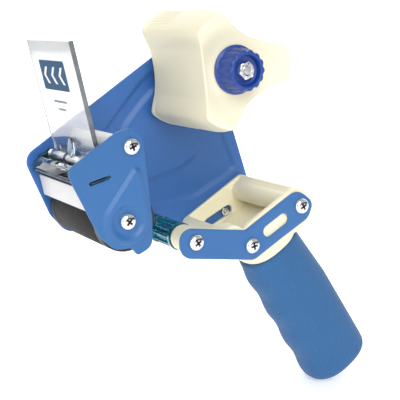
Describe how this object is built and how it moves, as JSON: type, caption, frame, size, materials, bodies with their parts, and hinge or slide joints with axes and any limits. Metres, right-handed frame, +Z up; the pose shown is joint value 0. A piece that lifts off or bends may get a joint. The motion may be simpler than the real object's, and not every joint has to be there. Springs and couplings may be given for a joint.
{
  "type": "tape gun dispenser",
  "caption": "Hand-held packing tape dispenser with pistol grip, lobed core hub, drag knob, rubber roller, serrated blade and clear tape flap.",
  "frame": {"origin": "centre of the bounding box at the level of the grip butt, the lowest point", "axes": "+X forward to the application roller, +Y towards the open tape loading side (the gun's left), +Z up, in the attitude it is held in use; the roller, hub and idler axes lie along Y"},
  "size_m": [0.229, 0.093, 0.2581],
  "materials": {
    "blue_steel": "satin enamel",
    "cream_plastic": "satin moulded",
    "blue_foam": "closed-cell foam, matte",
    "zinc_steel": "zinc plated",
    "chrome_fastener": "polished",
    "blade_steel": "ground edge",
    "white_plastic": "smooth",
    "knob_plastic": "satin moulded",
    "roller_rubber": "ground, matte",
    "black_plastic": "moulded",
    "teal_plastic": "translucent moulded",
    "clear_acrylic": "polished acrylic"
  },
  "bodies": {
    "frame": {"frame_plate": "blue_steel", "side_plate": "blue_steel", "handle_bracket": "blue_steel", "handle_body": "cream_plastic", "foam_grip": "blue_foam", "hub_bolt": "zinc_steel", "hub_lock_nut": "zinc_steel", "drag_washer": "zinc_steel", "knob_nut": "chrome_fastener", "drag_spring": "zinc_steel", "roller_axle": "zinc_steel", "guide_axle": "zinc_steel", "idler_axle": "zinc_steel", "side_screw_top": "chrome_fastener", "side_screw_roller": "chrome_fastener", "bracket_screw_front": "chrome_fastener", "bracket_screw_mid": "chrome_fastener", "bracket_screw_rear": "chrome_fastener", "far_screw_top": "chrome_fastener", "far_screw_roller": "chrome_fastener", "far_screw_front": "chrome_fastener", "far_screw_mid": "chrome_fastener", "far_screw_rear": "chrome_fastener", "tray_stud": "chrome_fastener", "blade_bridge": "zinc_steel", "wiper_panel": "white_plastic", "cutting_blade": "blade_steel", "flap_pin": "zinc_steel", "guard_pin": "zinc_steel", "flap_spring": "zinc_steel", "guard_spring": "zinc_steel"},
    "hub": {"tape_hub": "cream_plastic"},
    "knob": {"tension_knob": "knob_plastic"},
    "roller": {"roller_sleeve": "roller_rubber", "roller_core": "black_plastic", "roller_flange_near": "black_plastic", "roller_flange_far": "black_plastic"},
    "guide": {"guide_roller": "white_plastic"},
    "idler": {"idler_roller": "teal_plastic"},
    "flap": {"tape_flap": "clear_acrylic"},
    "guard": {"blade_guard": "clear_acrylic"}
  },
  "joints": [
    {"name": "hub_spin", "type": "hinge", "parent": "frame", "child": "hub", "pos_m": [-0.0009, -0.00055, 0.2199], "axis": [0, 1, 0], "continuous": true},
    {"name": "knob_turn", "type": "hinge", "parent": "frame", "child": "knob", "pos_m": [-0.0009, 0.03745, 0.2199], "axis": [0, 1, 0], "range_deg": [-180, 180]},
    {"name": "roller_spin", "type": "hinge", "parent": "frame", "child": "roller", "pos_m": [0.0778, -0.00055, 0.1323], "axis": [0, 1, 0], "continuous": true},
    {"name": "guide_spin", "type": "hinge", "parent": "frame", "child": "guide", "pos_m": [0.075, -0.00055, 0.177], "axis": [0, 1, 0], "continuous": true},
    {"name": "idler_spin", "type": "hinge", "parent": "frame", "child": "idler", "pos_m": [0.0312, -0.00055, 0.1145], "axis": [0, 1, 0], "continuous": true},
    {"name": "flap_tilt", "type": "hinge", "parent": "frame", "child": "flap", "pos_m": [0.0946, -0.00055, 0.1654], "axis": [0, 1, 0], "range_deg": [-20, 8], "stiffness_Nm_per_rad": 0.25},
    {"name": "guard_swing", "type": "hinge", "parent": "frame", "child": "guard", "pos_m": [0.1016, -0.00055, 0.1616], "axis": [0, 1, 0], "range_deg": [-30, 0], "stiffness_Nm_per_rad": 0.04, "springref_deg": 14.32}
  ]
}
